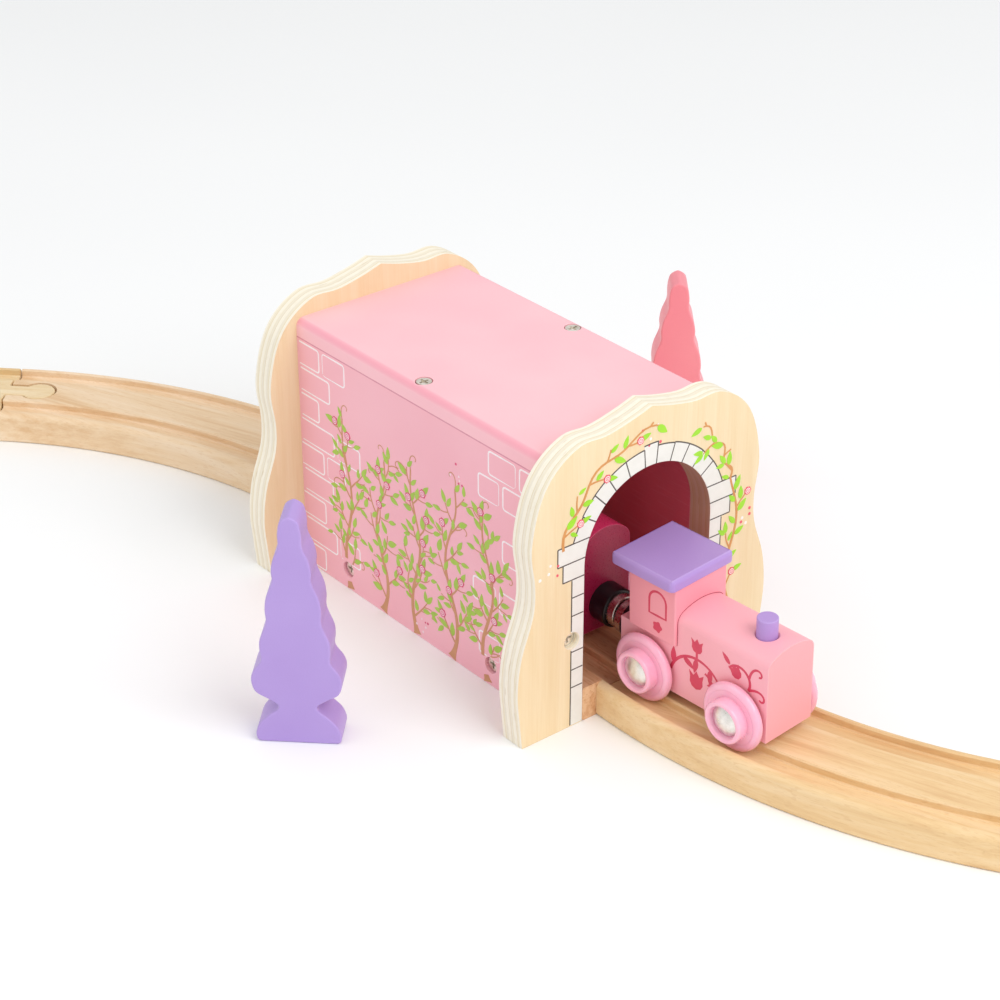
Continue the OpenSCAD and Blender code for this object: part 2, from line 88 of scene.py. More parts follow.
class Look:
    """Builder of one procedural material."""

    def __init__(self, name):
        self.material = bpy.data.materials.new(name)
        self.material.use_nodes = True
        self.tree = self.material.node_tree
        self.tree.nodes.clear()
        self.surface = self.add("ShaderNodeBsdfPrincipled")
        out = self.add("ShaderNodeOutputMaterial")
        self.link(self.surface.outputs["BSDF"], out.inputs["Surface"])
        self.coord = self.add("ShaderNodeTexCoord").outputs["Object"]

    def add(self, kind, **settings):
        node = self.tree.nodes.new(kind)
        for key, value in settings.items():
            setattr(node, key, value)
        return node

    def link(self, a, b):
        self.tree.links.new(a, b)

    def feed(self, socket, value):
        """Links a socket, or sets its own value."""
        if isinstance(value, bpy.types.NodeSocket):
            self.link(value, socket)
        else:
            socket.default_value = value

    def grain(self, turn=(0, 0, 0), density=(1, 1, 1)):
        """Object coordinates turned by degrees, then scaled to cells per metre."""
        node = self.add("ShaderNodeMapping", vector_type="TEXTURE")
        self.link(self.coord, node.inputs["Vector"])
        node.inputs["Rotation"].default_value = [math.radians(a) for a in turn]
        node.inputs["Scale"].default_value = [1 / d for d in density]
        return node.outputs["Vector"]

    def noise(self, vector, detail=2.0, rough=0.5, warp=0.0):
        node = self.add("ShaderNodeTexNoise")
        self.link(vector, node.inputs["Vector"])
        node.inputs["Scale"].default_value = 1.0
        node.inputs["Detail"].default_value = detail
        node.inputs["Roughness"].default_value = rough
        node.inputs["Distortion"].default_value = warp
        return node.outputs["Fac"]

    def axis(self, which):
        node = self.add("ShaderNodeSeparateXYZ")
        self.link(self.coord, node.inputs[0])
        return node.outputs[which]

    def face_axis(self, which):
        """How squarely a face looks along one axis, 0 to 1, in the object's own frame."""
        node = self.add("ShaderNodeTexCoord")
        split = self.add("ShaderNodeSeparateXYZ")
        self.link(node.outputs["Normal"], split.inputs[0])
        return self.math("ABSOLUTE", split.outputs[which])

    def math(self, what, a, b=0.0):
        node = self.add("ShaderNodeMath", operation=what)
        self.feed(node.inputs[0], a)
        self.feed(node.inputs[1], b)
        return node.outputs[0]

    def span(self, value, low, high, to_low=0.0, to_high=1.0):
        node = self.add("ShaderNodeMapRange", clamp=True)
        self.link(value, node.inputs["Value"])
        limits = {"From Min": low, "From Max": high, "To Min": to_low, "To Max": to_high}
        for name, number in limits.items():
            node.inputs[name].default_value = number
        return node.outputs["Result"]

    def ramp(self, value, stops):
        node = self.add("ShaderNodeValToRGB")
        elements = node.color_ramp.elements
        while len(elements) < len(stops):
            elements.new(0.5)
        for element, (place, colour) in zip(elements, stops):
            element.position = place
            element.color = colour
        self.link(value, node.inputs[0])
        return node.outputs["Color"]

    def mix(self, share, a, b):
        node = self.add("ShaderNodeMix", data_type="RGBA")
        self.feed(node.inputs["Factor"], share)
        self.feed(node.inputs["A"], a)
        self.feed(node.inputs["B"], b)
        return node.outputs["Result"]

    def bump(self, height, depth_mm):
        node = self.add("ShaderNodeBump")
        node.inputs["Distance"].default_value = depth_mm * MM
        self.link(height, node.inputs["Height"])
        return node.outputs["Normal"]

    def edges(self, reach_mm):
        """1 on worn convex and concave edges, 0 away from them."""
        soft = self.add("ShaderNodeBevel", samples=4)
        soft.inputs["Radius"].default_value = reach_mm * MM
        true = self.add("ShaderNodeNewGeometry")
        dot = self.add("ShaderNodeVectorMath", operation="DOT_PRODUCT")
        self.link(soft.outputs["Normal"], dot.inputs[0])
        self.link(true.outputs["Normal"], dot.inputs[1])
        return self.span(dot.outputs["Value"], 0.995, 0.9)

    def finish(self, colour, rough, normal=None, **fixed):
        """Connects the surface; fixed sockets take plain numbers."""
        self.feed(self.surface.inputs["Base Color"], colour)
        self.feed(self.surface.inputs["Roughness"], rough)
        if normal is not None:
            self.link(normal, self.surface.inputs["Normal"])
        for name, value in fixed.items():
            self.surface.inputs[name.replace("_", " ")].default_value = value
        return self.material


def wood(name, pale, mid, dark, turn=0.0, flecks=0.5):
    """Beech: long streaks, fine pores and the short dark flecks of its rays."""
    look = Look(name)
    lie = (0, 0, turn)
    bands = look.noise(look.grain(lie, (9, 110, 90)), detail=3, rough=0.55, warp=0.6)
    streaks = look.noise(look.grain(lie, (24, 620, 620)), detail=3, rough=0.6)
    pores = look.noise(look.grain(lie, (230, 3200, 3200)), detail=1, rough=0.5)
    rays = look.noise(look.grain(lie, (330, 1700, 1700)), detail=0, rough=0.4)
    tone = look.math("ADD", look.math("MULTIPLY", bands, 0.6), look.math("MULTIPLY", streaks, 0.4))
    colour = look.ramp(tone, [(0.34, srgb(dark)), (0.47, srgb(mid)), (0.62, srgb(pale))])
    ray_mask = look.span(rays, 0.66, 0.74, 0.0, flecks)
    colour = look.mix(ray_mask, colour, srgb(dark))
    pore_mask = look.span(pores, 0.60, 0.78, 0.0, 0.22)
    colour = look.mix(pore_mask, colour, srgb("#B98B55"))
    height = look.math("SUBTRACT", look.math("MULTIPLY", streaks, 0.5), pore_mask)
    rough = look.span(streaks, 0.3, 0.7, 0.42, 0.56)
    return look.finish(colour, rough, look.bump(height, 0.05), Specular_IOR_Level=0.4)


def plywood(name):
    """Birch plywood in boards across X: pale face veneer, striped edge."""
    look = Look(name)
    upright = look.noise(look.grain((0, 0, 0), (200, 240, 14)), detail=3, rough=0.55, warp=0.5)
    fine = look.noise(look.grain((0, 0, 0), (900, 1500, 60)), detail=2, rough=0.6)
    tone = look.math("ADD", look.math("MULTIPLY", upright, 0.65), look.math("MULTIPLY", fine, 0.35))
    face = look.ramp(
        tone, [(0.3, srgb("#E9D0A4")), (0.5, srgb("#EDD7AF")), (0.7, srgb("#F1DEBA"))]
    )
    # place within the board's thickness, the same from both ends
    deep = look.math("SUBTRACT", look.math("ABSOLUTE", look.axis(0)), INNER_HALF * MM)
    deep = look.math("DIVIDE", deep, PORTAL_T * MM)
    sway = look.noise(look.grain((0, 0, 0), (60, 90, 90)), detail=2, rough=0.6)
    deep = look.math("ADD", deep, look.math("MULTIPLY", look.math("SUBTRACT", sway, 0.5), 0.05))
    cream, tan, glue, grey = (srgb(c) for c in ("#FAF3E2", "#F2E8D0", "#E3D2AC", "#EFE7D6"))
    stops = [(0.0, cream), (0.13, cream), (0.15, glue), (0.17, tan), (0.30, grey), (0.32, cream)]
    stops += [(0.46, cream), (0.48, glue), (0.50, grey), (0.62, tan), (0.64, cream), (0.78, cream)]
    stops += [(0.80, glue), (0.82, tan), (0.9, tan), (0.92, cream)]
    layers = look.ramp(deep, stops)
    fibres = look.noise(look.grain((0, 0, 0), (2600, 420, 420)), detail=3, rough=0.7)
    layers = look.mix(look.span(fibres, 0.45, 0.75, 0.0, 0.22), layers, srgb("#D8C49A"))
    checks = look.noise(look.grain((0, 0, 0), (1500, 130, 130)), detail=1, rough=0.4)
    layers = look.mix(look.span(checks, 0.70, 0.78, 0.0, 0.4), layers, srgb("#B3935F"))
    # painted shade and pink bounce light: the cut edge of the opening is mixed toward a red-brown that
    # stands in for the dim, pink-lit inside
    reach = look.math("LESS_THAN", look.math("ABSOLUTE", look.axis(1)), (BORE_R + 0.3) * MM)
    low = look.math("LESS_THAN", look.axis(2), (ARCH_Z + BORE_R + 0.5) * MM)
    bore_shade = look.math("MULTIPLY", look.math("MULTIPLY", reach, low), 0.7)
    layers = look.mix(bore_shade, layers, srgb("#B77649"))
    facing = look.span(look.face_axis(0), 0.55, 0.8)
    colour = look.mix(facing, layers, face)
    rough = look.span(facing, 0.0, 1.0, 0.72, 0.48)
    height = look.math("ADD", look.math("MULTIPLY", fibres, 0.8), look.math("MULTIPLY", fine, 0.3))
    return look.finish(colour, rough, look.bump(height, 0.06), Specular_IOR_Level=0.35)


def paint(name, colour, shade, light, turn=0.0, rough=0.42, shaded_inside=None, shaded_ends=None, shaded_rounding=None):
    """Sprayed satin paint on wood: faint grain, a little peel and thinner paint on the edges.

    It can carry painted shade within the bore, on faces across X and on edges rounded along X.
    """
    look = Look(name)
    lie = (0, 0, turn)
    cloud = look.noise(look.grain(lie, (26, 26, 26)), detail=2, rough=0.5)
    fibre = look.noise(look.grain(lie, (70, 1500, 1500)), detail=2, rough=0.6)
    skin = look.noise(look.grain(lie, (1500, 1500, 1500)), detail=1, rough=0.5)
    base = look.ramp(cloud, [(0.3, srgb(shade)), (0.7, srgb(colour))])
    # painted shade: faces within the bore take a deeper colour for the tunnel's shade and its pink bounce
    # light
    if shaded_inside is not None:
        within = look.math("ABSOLUTE", look.axis(1))
        in_shade = look.math("LESS_THAN", within, (BORE_R + 0.4) * MM)
        base = look.mix(in_shade, base, srgb(shaded_inside))
    # painted shade: faces across X take a darker colour for the weaker light on them
    if shaded_ends is not None:
        base = look.mix(look.span(look.face_axis(0), 0.6, 0.9), base, srgb(shaded_ends))
    # painted shade: edges rounded along X take a deeper pink for the shade on their curve
    if shaded_rounding is not None:
        turning = look.math("MULTIPLY", look.face_axis(1), look.face_axis(2))
        base = look.mix(look.span(turning, 0.2, 0.5, 0.0, 0.55), base, srgb(shaded_rounding))
    base = look.mix(look.span(fibre, 0.55, 0.8, 0.0, 0.16), base, srgb(shade))
    rubbed = look.math("MULTIPLY", look.edges(0.7), look.span(cloud, 0.38, 0.62, 0.3, 0.35))
    base = look.mix(rubbed, base, srgb(light))
    height = look.math("ADD", look.math("MULTIPLY", fibre, 0.5), look.math("MULTIPLY", skin, 0.6))
    gloss = look.span(skin, 0.3, 0.7, rough - 0.04, rough + 0.06)
    return look.finish(base, gloss, look.bump(height, 0.05), Specular_IOR_Level=0.45)


def plastic(name, colour, shade, rough, coat, glow=0.0):
    """Moulded plastic with a faint flow pattern; light enters it by the share "glow"."""
    look = Look(name)
    flow = look.noise(look.grain((0, 0, 0), (160, 160, 160)), detail=2, rough=0.5, warp=0.4)
    skin = look.noise(look.grain((0, 0, 0), (1400, 1400, 1400)), detail=1)
    base = look.ramp(flow, [(0.3, srgb(shade)), (0.7, srgb(colour))])
    gloss = look.span(skin, 0.3, 0.7, rough, rough + 0.08)
    return look.finish(
        base,
        gloss,
        look.bump(skin, 0.008),
        Specular_IOR_Level=0.5,
        Coat_Weight=coat,
        Coat_Roughness=0.12,
        Subsurface_Weight=glow,
        Subsurface_Radius=(0.0012, 0.0006, 0.0006),
    )


def metal(name, colour, shade, rough, dirt=0.25):
    """Plated steel: mottled plating, fine scratches."""
    look = Look(name)
    mottle = look.noise(look.grain((0, 0, 0), (420, 420, 420)), detail=3, rough=0.65)
    scratch = look.noise(look.grain((20, 35, 10), (250, 5200, 900)), detail=1)
    base = look.ramp(mottle, [(0.35, srgb(shade)), (0.65, srgb(colour))])
    gloss = look.span(mottle, 0.3, 0.7, rough, rough + dirt)
    return look.finish(base, gloss, look.bump(scratch, 0.01), Metallic=1.0)


def ink(name, colour, shade):
    """Printed ink, very slightly uneven."""
    look = Look(name)
    cloud = look.noise(look.grain((0, 0, 0), (300, 300, 300)), detail=2)
    base = look.ramp(cloud, [(0.3, srgb(shade)), (0.7, srgb(colour))])
    return look.finish(base, look.span(cloud, 0.3, 0.7, 0.4, 0.5), Specular_IOR_Level=0.4)


# ---------------------------------------------------------------- materials
BEECH = ("#F1D4A8", "#EAC895", "#DDB583")
REAR_BEECH = ("#F5DDBF", "#EED0AA", "#E2BC90")
LOOKS = {
    # painted shade: the tunnel's floor is a darker, browner beech than the loose track, for the shade
    # inside the tunnel
    "tunnel_track": wood("shaded_beech_floor", "#E6BD95", "#D7A378", "#BE8257", turn=0, flecks=0.5),
    "front_curve_track": wood("beech_front", *BEECH, turn=21, flecks=0.35),
    "rear_curve_track": wood("beech_rear", *REAR_BEECH, turn=22, flecks=0.35),
    "end_track": wood("beech_end", "#F2DDB8", "#E9CD9E", "#D8B57F", turn=44, flecks=0.35),
    # painted shade: the roof's rounded edges are a deeper pink
    "tunnel_roof": paint("roof_paint", "#FFC8CF", "#FCBFC8", "#FFDDE0", shaded_rounding="#EE8FA5"),
    "engine_roof": paint("cab_roof_paint", "#B899D9", "#B08ED1", "#D0B8E8", turn=ENGINE_YAW),
    "chimney": paint("chimney_paint", "#B899D9", "#B08ED1", "#D0B8E8", turn=ENGINE_YAW),
    "purple_tree": paint("purple_tree_paint", "#B69CDB", "#AF93D5", "#D4C0EE", turn=46, rough=0.38),
    "pink_tree": paint("pink_tree_paint", "#F797A0", "#F38C98", "#FFB9BE", turn=51, rough=0.38),
    # painted shade: the carriage's end faces are much darker, for the shade on its front
    "carriage_body": paint("carriage_paint", "#FF4C86", "#F7417C", "#FF8FB0", rough=0.3, shaded_ends="#A81E49"),
}
ply = plywood("birch_ply")
# painted shade: the deeper crimson inside the walls stands in for the tunnel's shade and pink bounce
# light
wall_paint = paint("wall_paint", "#FBBDC7", "#F8B5C0", "#FFD9DC", shaded_inside="#D65F70")
# painted shade: the engine's faces across X are a little darker
engine_paint = paint("engine_paint", "#FDB7C1", "#FAADB9", "#FFD4D7", turn=ENGINE_YAW, shaded_ends="#F9ABB4")
cab_paint = paint("cab_paint", "#FBA8B3", "#F79DAA", "#FFCCD1", turn=ENGINE_YAW)
pin_steel = metal("pin_steel_look", "#F6F5F1", "#DEDBD4", rough=0.26)
screw_steel = metal("screw_steel_look", "#FAF6EE", "#DDD5C6", rough=0.3)
chrome = metal("magnet_look", "#D9D4CD", "#B8B1A9", rough=0.22, dirt=0.1)
black = plastic("cup_plastic", "#17161A", "#0E0D10", rough=0.34, coat=0.12)
wheel_plastic = plastic("wheel_plastic", "#FFBDD3", "#FEB4CD", rough=0.18, coat=0.5, glow=0.15)

for name in nodes:
    if name in LOOKS:
        continue
    if name.endswith("portal"):
        LOOKS[name] = ply
    elif name.startswith("wall") and not name.endswith("screws"):
        LOOKS[name] = wall_paint
    elif name == "engine_body":
        LOOKS[name] = engine_paint
    elif name == "engine_cab":
        LOOKS[name] = cab_paint
    elif name.endswith("axle_pins"):
        LOOKS[name] = pin_steel
    elif name.endswith(("screws", "screw")):
        LOOKS[name] = screw_steel
    elif name.endswith("magnet"):
        LOOKS[name] = chrome
    elif name.endswith("cup"):
        LOOKS[name] = black
    elif "_wheel_" in name:
        LOOKS[name] = wheel_plastic

for name, node in nodes.items():
    node.data.materials.clear()
    node.data.materials.append(LOOKS[name])


# ---------------------------------------------------------------- eased edges
def smooth_group(limit_deg):
    """Geometry nodes that shade a mesh smooth except over sharp edges."""
    group = bpy.data.node_groups.new("shade_by_angle", "GeometryNodeTree")
    group.interface.new_socket("Geometry", in_out="INPUT", socket_type="NodeSocketGeometry")
    group.interface.new_socket("Geometry", in_out="OUTPUT", socket_type="NodeSocketGeometry")
    source = group.nodes.new("NodeGroupInput")
    target = group.nodes.new("NodeGroupOutput")
    faces = group.nodes.new("GeometryNodeSetShadeSmooth")
    faces.domain = "FACE"
    edges = group.nodes.new("GeometryNodeSetShadeSmooth")
    edges.domain = "EDGE"
    angle = group.nodes.new("GeometryNodeInputMeshEdgeAngle")
    flat = group.nodes.new("FunctionNodeCompare")
    flat.data_type = "FLOAT"
    flat.operation = "LESS_EQUAL"
    flat.inputs["B"].default_value = math.radians(limit_deg)
    link = group.links.new
    link(source.outputs[0], faces.inputs["Geometry"])
    link(faces.outputs[0], edges.inputs["Geometry"])
    link(angle.outputs["Unsigned Angle"], flat.inputs["A"])
    link(flat.outputs["Result"], edges.inputs["Shade Smooth"])
    link(edges.outputs[0], target.inputs[0])
    return group


SHADE = smooth_group(32)
WELD_GAP = 0.002
FLAT_DEG = 0.4  # facets that turn less than this are one face
SHARP_DEG = 50  # edges that turn more than this are eased
EASED = {
    "front_portal": 0.5,
    "rear_portal": 0.5,
    "tunnel_roof": 0.25,
    "wall_right": 0.2,
    "wall_left": 0.2,
    "tunnel_track": 1.2,
    "front_curve_track": 1.0,
    "rear_curve_track": 1.0,
    "end_track": 1.0,
    "engine_body": 0.9,
    "engine_cab": 0.6,
    "engine_roof": 0.7,
    "chimney": 0.3,
    "carriage_body": 0.9,
    "purple_tree": 1.5,
    "pink_tree": 1.5,
}
for name, width in EASED.items():
    node = nodes[name]
    weld = node.modifiers.new("weld", "WELD")
    weld.merge_threshold = WELD_GAP * MM
    flat = node.modifiers.new("flat", "DECIMATE")
    flat.decimate_type = "DISSOLVE"
    flat.angle_limit = math.radians(FLAT_DEG)
    ease = node.modifiers.new("ease", "BEVEL")
    ease.width = width * MM
    ease.segments = 4
    ease.limit_method = "ANGLE"
    ease.angle_limit = math.radians(SHARP_DEG)
    ease.use_clamp_overlap = True
    shade = node.modifiers.new("shade", "NODES")
    shade.node_group = SHADE
    even = node.modifiers.new("even", "WEIGHTED_NORMAL")
    even.keep_sharp = True


# ---------------------------------------------------------------- printed decoration
COAT = 0.02  # one coat of ink, mm
KEY = 0.02  # ink starts this far inside the board
LOWEST = 0.1  # no ink nearer than this to the ground
SHUFFLE = 0.0002  # small difference between shapes of one coat, so none coincide
SHUFFLES = 97  # the differences start again after this many shapes


def between(a, b, c, d, t):
    """Catmull-Rom value at the share t of the way from b to c."""
    square = 2 * a - 5 * b + 4 * c - d
    return 0.5 * (2 * b + t * (c - a) + t * t * square + t**3 * (3 * b - a - 3 * c + d))


def blend_line(points, steps):
    """A smooth line through the points, with this many steps from one to the next."""
    line = []
    last = len(points) - 1
    for i in range(last):
        a, b = points[max(i - 1, 0)], points[i]
        c, d = points[i + 1], points[min(i + 2, last)]
        for k in range(steps):
            line.append(tuple(between(a[n], b[n], c[n], d[n], k / steps) for n in (0, 1)))
    line.append(tuple(points[-1]))
    return line


def around(centre, radius, start=0.0, stop=360.0, count=24):
    """Points on an arc, angles in degrees."""
    full = abs(stop - start) >= 360
    steps = count if full else count - 1
    turn = [math.radians(start + (stop - start) * i / steps) for i in range(count)]
    return [(centre[0] + radius * math.cos(a), centre[1] + radius * math.sin(a)) for a in turn]


class Print:
    """Ink on one flat face, gathered by colour into thin closed solids."""

    def __init__(self, name, body, origin, along, out, up=(0, 0, 1), clear=(), within=None):
        self.name, self.body = name, body
        self.origin = Vector(origin)
        self.along, self.up, self.out = Vector(along), Vector(up), Vector(out)
        self.hand = 1 if self.along.cross(self.up).dot(self.out) > 0 else -1
        self.clear = clear  # (u, v, radius) of the places that ink stays off
        self.within = within  # tells whether a point lies on the printed field
        self.taken = []  # (u, v, radius) of leaves and flowers already printed
        self.shapes = 0
        self.meshes = {}

    def point(self, p, height):
        """A place on the face in metres, raised off it."""
        return (self.origin + self.along * p[0] + self.up * p[1] + self.out * height) * MM

    def top(self, coat):
        """How high the next shape reaches."""
        self.shapes += 1
        return KEY + COAT * coat + SHUFFLE * (self.shapes % SHUFFLES)

    def blocked(self, p, reach=0.0):
        """True off the printed field and over a screw."""
        if self.within is not None and not self.within(p):
            return True
        return any(math.dist(p, (u, v)) < r + reach for u, v, r in self.clear)

    def crowded(self, p, reach):
        """True if a new motif would cover one already there; otherwise claims the place."""
        if any(math.dist(p, (u, v)) < r + reach for u, v, r in self.taken):
            return True
        self.taken.append((p[0], p[1], reach))
        return False

    def start(self, colour):
        """The points and faces printed so far in one colour."""
        return self.meshes.setdefault(colour, ([], []))

    def fill(self, colour, outline, coat):
        """A filled outline."""
        area = sum(
            a[0] * b[1] - b[0] * a[1] for a, b in zip(outline, outline[1:] + outline[:1])
        )
        if area * self.hand < 0:
            outline = outline[::-1]
        points, faces = self.start(colour)
        k, n, top = len(points), len(outline), self.top(coat)
        points += [self.point(p, -KEY) for p in outline]
        points += [self.point(p, top) for p in outline]
        faces.append(tuple(range(k + n, k + 2 * n)))
        faces.append(tuple(range(k + n - 1, k - 1, -1)))
        faces += [(k + i, k + (i + 1) % n, k + n + (i + 1) % n, k + n + i) for i in range(n)]

    def line(self, colour, path, width, coat, closed=False):
        """A ribbon along a path; width is a number or one for each point."""
        if closed:
            self.ribbon(colour, path, self.widths(path, width), coat, True)
        else:
            for piece, widths in self.split(path, width):
                self.ribbon(colour, piece, widths, coat, False)

    def widths(self, path, width):
        """A width for each point, from one number, two end values or a list."""
        if isinstance(width, tuple):
            last = max(len(path) - 1, 1)
            return [width[0] + (width[1] - width[0]) * i / last for i in range(len(path))]
        return width if isinstance(width, list) else [width] * len(path)

    def split(self, path, width):
        """The parts of a path that keep off the clear places."""
        piece, widths = [], []
        for p, w in zip(path, self.widths(path, width)):
            if self.blocked(p, w / 2):
                if len(piece) > 1:
                    yield piece, widths
                piece, widths = [], []
            else:
                piece.append(p)
                widths.append(w)
        if len(piece) > 1:
            yield piece, widths

    def ribbon(self, colour, path, widths, coat, closed):
        """A closed solid along a path, as wide at each point as its entry in widths."""
        n, top = len(path), self.top(coat)
        left, right = [], []
        for i, (p, w) in enumerate(zip(path, widths)):
            a = path[i - 1] if i or closed else p
            b = path[(i + 1) % n] if i < n - 1 or closed else p
            span = math.dist(a, b) or 1.0
            side = ((a[1] - b[1]) / span * w / 2, (b[0] - a[0]) / span * w / 2)
            left.append((p[0] + side[0], max(p[1] + side[1], LOWEST)))
            right.append((p[0] - side[0], max(p[1] - side[1], LOWEST)))
        if self.hand < 0:
            left, right = right, left
        points, faces = self.start(colour)
        k = len(points)
        for row, height in ((left, top), (right, top), (right, -KEY), (left, -KEY)):
            points += [self.point(p, height) for p in row]
        rows = [k, k + n, k + 2 * n, k + 3 * n]
        for i in range(n if closed else n - 1):
            j = (i + 1) % n
            for r in range(4):
                a, b = rows[r], rows[(r + 1) % 4]
                faces.append((a + i, b + i, b + j, a + j))
        if not closed:
            faces.append(tuple(reversed(rows)))
            faces.append(tuple(r + n - 1 for r in rows))

    def build(self, inks):
        """One object for each colour, riding on the body that carries the print."""
        for colour, (points, faces) in self.meshes.items():
            mesh = bpy.data.meshes.new(f"{self.name}_{colour}")
            mesh.from_pydata([tuple(p) for p in points], [], faces)
            mesh.materials.append(inks[colour])
            obj = bpy.data.objects.new(f"{self.name}_{colour}", mesh)
            bpy.context.scene.collection.objects.link(obj)
            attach(obj, self.body)


LEAF_STATIONS = (0.0, 0.12, 0.3, 0.5, 0.7, 0.87, 1.0)


def leaf(page, colour, base, heading, length, width, coat):
    """A pointed leaf from its stalk."""
    a = math.radians(heading)
    ahead, side = (math.cos(a), math.sin(a)), (-math.sin(a), math.cos(a))

    def at(t, reach):
        along = t * length
        return tuple(base[n] + ahead[n] * along + side[n] * reach for n in (0, 1))

    middle = at(0.55, 0.0)
    if page.blocked(middle, length / 2) or page.blocked(at(1.15, 0.0)) or page.blocked(base):
        return
    if colour == "leaf" and page.crowded(middle, width * 0.62):
        return
    half = []
    for t in LEAF_STATIONS:
        half.append((t, width / 2 * math.sin(math.pi * t**0.75) ** 0.9 if 0 < t < 1 else 0.0))
    page.fill(colour, [at(t, r) for t, r in half] + [at(t, -r) for t, r in half[-2:0:-1]], coat)


def lobed(centre, radius, depth, lobes, count):
    """A closed round outline with lobes."""
    outline = []
    for i in range(count):
        a = math.tau * i / count
        r = radius * (1 + depth * math.cos(lobes * a))
        outline.append((centre[0] + r * math.cos(a), centre[1] + r * math.sin(a)))
    return outline


def rose(page, at, radius, coat):
    """A small round rose: lobed ring, pale petals and a curl in the middle."""
    if page.blocked(at, radius + 0.3):
        return
    page.taken.append((at[0], at[1], radius * 0.8))
    page.fill("rose", lobed(at, radius, 0.07, 7, 42), coat)
    page.fill("petal", around(at, radius * 0.74, count=20), coat + 1)
    page.line("rose", around(at, radius * 0.46, count=18), radius * 0.17, coat + 2, closed=True)
    page.fill("rose", around(at, radius * 0.16, count=10), coat + 2)


def onward(here, heading, step):
    """The place one step ahead."""
    a = math.radians(heading)
    return (here[0] + step * math.cos(a), here[1] + step * math.sin(a))


WALK_STEP = 0.8
WALK_SHAKE = 2.5  # degrees


def walk(rng, start, heading, length, bend):
    """A wandering line that turns by "bend" degrees over its length."""
    path = [start]
    for _ in range(max(int(length / WALK_STEP), 3)):
        heading += bend * WALK_STEP / length + rng.gauss(0, WALK_SHAKE)
        path.append(onward(path[-1], heading, WALK_STEP))
    return path


def heading_of(a, b):
    """Direction from a to b in degrees."""
    return math.degrees(math.atan2(b[1] - a[1], b[0] - a[0]))


STALK = 0.7  # a leaf starts this far from its stem


def leaves_along(page, rng, path, first, gap, size, coat):
    """Leaves on alternate sides of a path, and one at its end."""
    side, travelled, due = rng.choice((-1, 1)), 0.0, first
    for a, b in zip(path, path[1:]):
        travelled += math.dist(a, b)
        if travelled < due:
            continue
        length = size * rng.uniform(0.7, 1.12)
        heading = heading_of(a, b) + side * rng.uniform(26, 58)
        width = length * rng.uniform(0.4, 0.5)
        leaf(page, "leaf", onward(b, heading, STALK), heading, length, width, coat)
        side, due = -side, travelled + gap * rng.uniform(0.8, 1.25)
    leaf(page, "leaf", path[-1], heading_of(path[-2], path[-1]), size, size * 0.42, coat)


CURL_STEP = 0.45


def tendril(page, start, heading, length, hand, width, colour="vine"):
    """A thin stem that curls up at its end."""
    path = [start]
    count = int(length / CURL_STEP)
    for i in range(count):
        heading += hand * (2.0 + 34 * (i / count) ** 2.2)
        path.append(onward(path[-1], heading, CURL_STEP))
    page.line(colour, path, (width, width * 0.7), 2)


def dots(page, rng, centre, spread, count, size=0.42):
    """A few scattered petals."""
    for i in range(count):
        at = (centre[0] + rng.uniform(-1, 1) * spread, centre[1] + rng.uniform(-1, 1) * spread)
        if not page.blocked(at, 1.0) and not page.crowded(at, size):
            petal = around(at, size * rng.uniform(0.9, 1.3), 15, 375, 6)
            page.fill("rose" if i % 2 else "petal", petal, 2)


# ---- side walls: loose brickwork at both ends and climbing trees between
FIELD_X = INNER_HALF - 0.35
FIELD_TOP = WALL_TOP - 0.8
WALL_SCREWS = (38.3, 7.5, 3.15)  # place and clear radius of the two screws
COURSE = 9.5  # a row of bricks with its joint
COURSES = 9
BRICK_LOW = 0.8
BRICK_H = 8.0
BRICK_END = 75.0  # the rows start out of sight, past the portals
BRICK_REACH = 51.5  # where a long row stops
BRICK_SHIFT = 7.5  # how much shorter every other row is
TREES = 5
TREE_GAP = 18.5
TREE_H = 62.0


def rounded(x0, z0, x1, z1, r):
    """Rounded rectangle from its lower left corner."""
    left, right, low, high = x0 + r, x1 - r, z0 + r, z1 - r
    path = []
    for centre, turn in (((left, low), 180), ((right, low), 270), ((right, high), 0), ((left, high), 90)):
        path += around(centre, r, turn, turn + 90, 5)
    return path


def brick(page, x0, z0, x1, z1, bold):
    """A brick drawn as an outline, bold on one side and fading on the other."""
    corners = rounded(x0, z0, x1, z1, 1.1)
    path = []
    for a, b in zip(corners, corners[1:] + corners[:1]):
        pieces = max(int(math.dist(a, b) / 1.2), 1)
        for k in range(pieces):
            path.append(tuple(a[n] + (b[n] - a[n]) * k / pieces for n in (0, 1)))
    # the loop opens at its faded lower corner
    faded = x0 if bold > 0 else x1
    begin = min(range(len(path)), key=lambda i: abs(path[i][0] - faded) + abs(path[i][1] - z0))
    path = path[begin:] + path[:begin]
    widths = []
    for p in path:
        share = (p[0] - x0) / (x1 - x0) if bold > 0 else (x1 - p[0]) / (x1 - x0)
        lift = (p[1] - z0) / (z1 - z0)
        widths.append(0.14 + 0.46 * min(1.0, 0.1 + 0.8 * share + 0.35 * lift))
    page.line("chalk", path, widths, 1)


def brickwork(page, rng):
    """Rows that grow out of both portals, long and short by turns, and a few loose bricks."""
    for row in range(COURSES):
        low = BRICK_LOW + row * COURSE
        for s in (-1, 1):
            if s > 0 and rng.random() < 0.3:
                continue
            reach = BRICK_REACH - BRICK_SHIFT * (row % 2) + rng.uniform(-1.5, 1.5)
            shaded_ends = sorted((s * reach, s * BRICK_END))
            brick(page, shaded_ends[0], low, shaded_ends[1], low + BRICK_H, -s)
            if rng.random() < 0.45:
                near, far = s * (reach - 2), s * (reach - 2 - rng.uniform(9, 13))
                brick(page, min(near, far), low, max(near, far), low + BRICK_H, -s)


